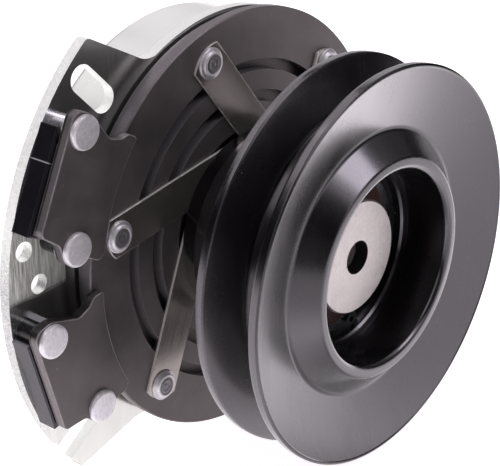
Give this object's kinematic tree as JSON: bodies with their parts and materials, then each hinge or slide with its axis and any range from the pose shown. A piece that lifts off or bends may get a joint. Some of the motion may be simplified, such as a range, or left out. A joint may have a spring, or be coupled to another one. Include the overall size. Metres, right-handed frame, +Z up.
{
  "type": "electromagnetic clutch",
  "caption": "Electromagnetic power take-off clutch with a V-belt pulley, a spring-strap armature, permanent-magnet brake poles and a slotted torque tab.",
  "frame": {"origin": "on the clutch axis at the rear end face of the keyed hub, where the crankshaft enters", "axes": "+Y along the clutch axis towards the engine, so the pulley and the crank bolt face -Y; +Z up; the torque tab is on the -X side"},
  "size_m": [0.1876, 0.1027, 0.1532],
  "materials": {
    "zinc_plate": "bright zinc plate over drawn sheet, brushed, with a sheared grey edge",
    "turned_steel": "turned bare steel",
    "moulded_black": "moulded black nylon, fine matt texture",
    "copper_wire": "enamelled copper wire",
    "coil_tape": "wound insulating tape",
    "potting_resin": "cast dark epoxy",
    "bearing_steel": "ground bearing steel",
    "seal_rubber": "red-brown moulded seal",
    "spring_steel_ring": "oiled dark spring steel",
    "phosphated_steel": "dark warm-grey phosphate coat, dry satin",
    "black_magnet": "black ferrite block, sharp edges",
    "rivet_steel": "zinc plated, upset heads with faint rings",
    "black_sleeve": "black spacer tube",
    "grommet_rubber": "black rubber",
    "lead_insulation": "insulated lead",
    "hub_steel": "pressed pale steel, fine satin",
    "gloss_black_paint": "gloss black coat over pressed steel",
    "strap_steel": "rolled spring strip, satin with bright edges",
    "cage_polymer": "moulded polymer cage"
  },
  "bodies": {
    "field": {"field_shell": "zinc_plate", "bearing_housing": "turned_steel", "coil_bobbin": "moulded_black", "coil_winding": "copper_wire", "coil_wrap": "coil_tape", "coil_potting": "potting_resin", "field_bearing_outer_ring": "bearing_steel", "field_bearing_front_seal": "seal_rubber", "field_bearing_rear_seal": "seal_rubber", "field_snap_ring": "spring_steel_ring", "brake_pole_upper": "phosphated_steel", "brake_magnet_upper": "black_magnet", "magnet_keeper_upper": "phosphated_steel", "brake_pole_lower": "phosphated_steel", "brake_magnet_lower": "black_magnet", "magnet_keeper_lower": "phosphated_steel", "spacer_sleeves": "black_sleeve", "air_gap_shims": "rivet_steel", "pole_rivets": "rivet_steel", "connector_socket": "moulded_black", "connector_blades": "turned_steel", "lead_grommet": "grommet_rubber", "coil_leads": "lead_insulation"},
    "rotor": {"keyed_hub": "hub_steel", "clamp_collar": "hub_steel", "rotor_disc": "phosphated_steel", "field_bearing_inner_ring": "bearing_steel", "pulley_bearing_inner_ring": "bearing_steel"},
    "pulley": {"pulley_front_flange": "gloss_black_paint", "pulley_rear_flange": "gloss_black_paint", "groove_root_ring": "gloss_black_paint", "pulley_hub": "gloss_black_paint", "pulley_bearing_outer_ring": "bearing_steel", "pulley_bearing_front_seal": "seal_rubber", "pulley_bearing_rear_seal": "seal_rubber", "pulley_snap_ring": "spring_steel_ring", "strap_rivets_inner": "rivet_steel", "leaf_strap_1": "strap_steel", "leaf_strap_2": "strap_steel", "leaf_strap_3": "strap_steel", "leaf_strap_4": "strap_steel", "leaf_strap_5": "strap_steel", "leaf_strap_6": "strap_steel"},
    "armature": {"armature_plate": "phosphated_steel", "armature_rivets": "rivet_steel"},
    "field_cage": {"field_bearing_cage": "cage_polymer", "field_bearing_balls": "bearing_steel"},
    "pulley_cage": {"pulley_bearing_cage": "cage_polymer", "pulley_bearing_balls": "bearing_steel"}
  },
  "joints": [
    {"name": "rotor_spin", "type": "hinge", "parent": "field", "child": "rotor", "pos_m": [0, 0, 0], "axis": [0, 1, 0], "continuous": true},
    {"name": "pulley_spin", "type": "hinge", "parent": "rotor", "child": "pulley", "pos_m": [0, 0, 0], "axis": [0, 1, 0], "continuous": true},
    {"name": "armature_travel", "type": "slide", "parent": "pulley", "child": "armature", "axis": [0, 1, 0], "range_m": [0, 0.00035], "deforming": ["leaf_strap_1", "leaf_strap_2", "leaf_strap_3", "leaf_strap_4", "leaf_strap_5", "leaf_strap_6"]},
    {"name": "field_cage_spin", "type": "hinge", "parent": "field", "child": "field_cage", "pos_m": [0, 0, 0], "axis": [0, 1, 0], "continuous": true},
    {"name": "pulley_cage_spin", "type": "hinge", "parent": "rotor", "child": "pulley_cage", "pos_m": [0, 0, 0], "axis": [0, 1, 0], "continuous": true}
  ],
  "couplings": [
    {"joint": "field_cage_spin", "follows": "rotor_spin", "ratio": 0.41939},
    {"joint": "pulley_cage_spin", "follows": "pulley_spin", "ratio": 0.59848}
  ]
}
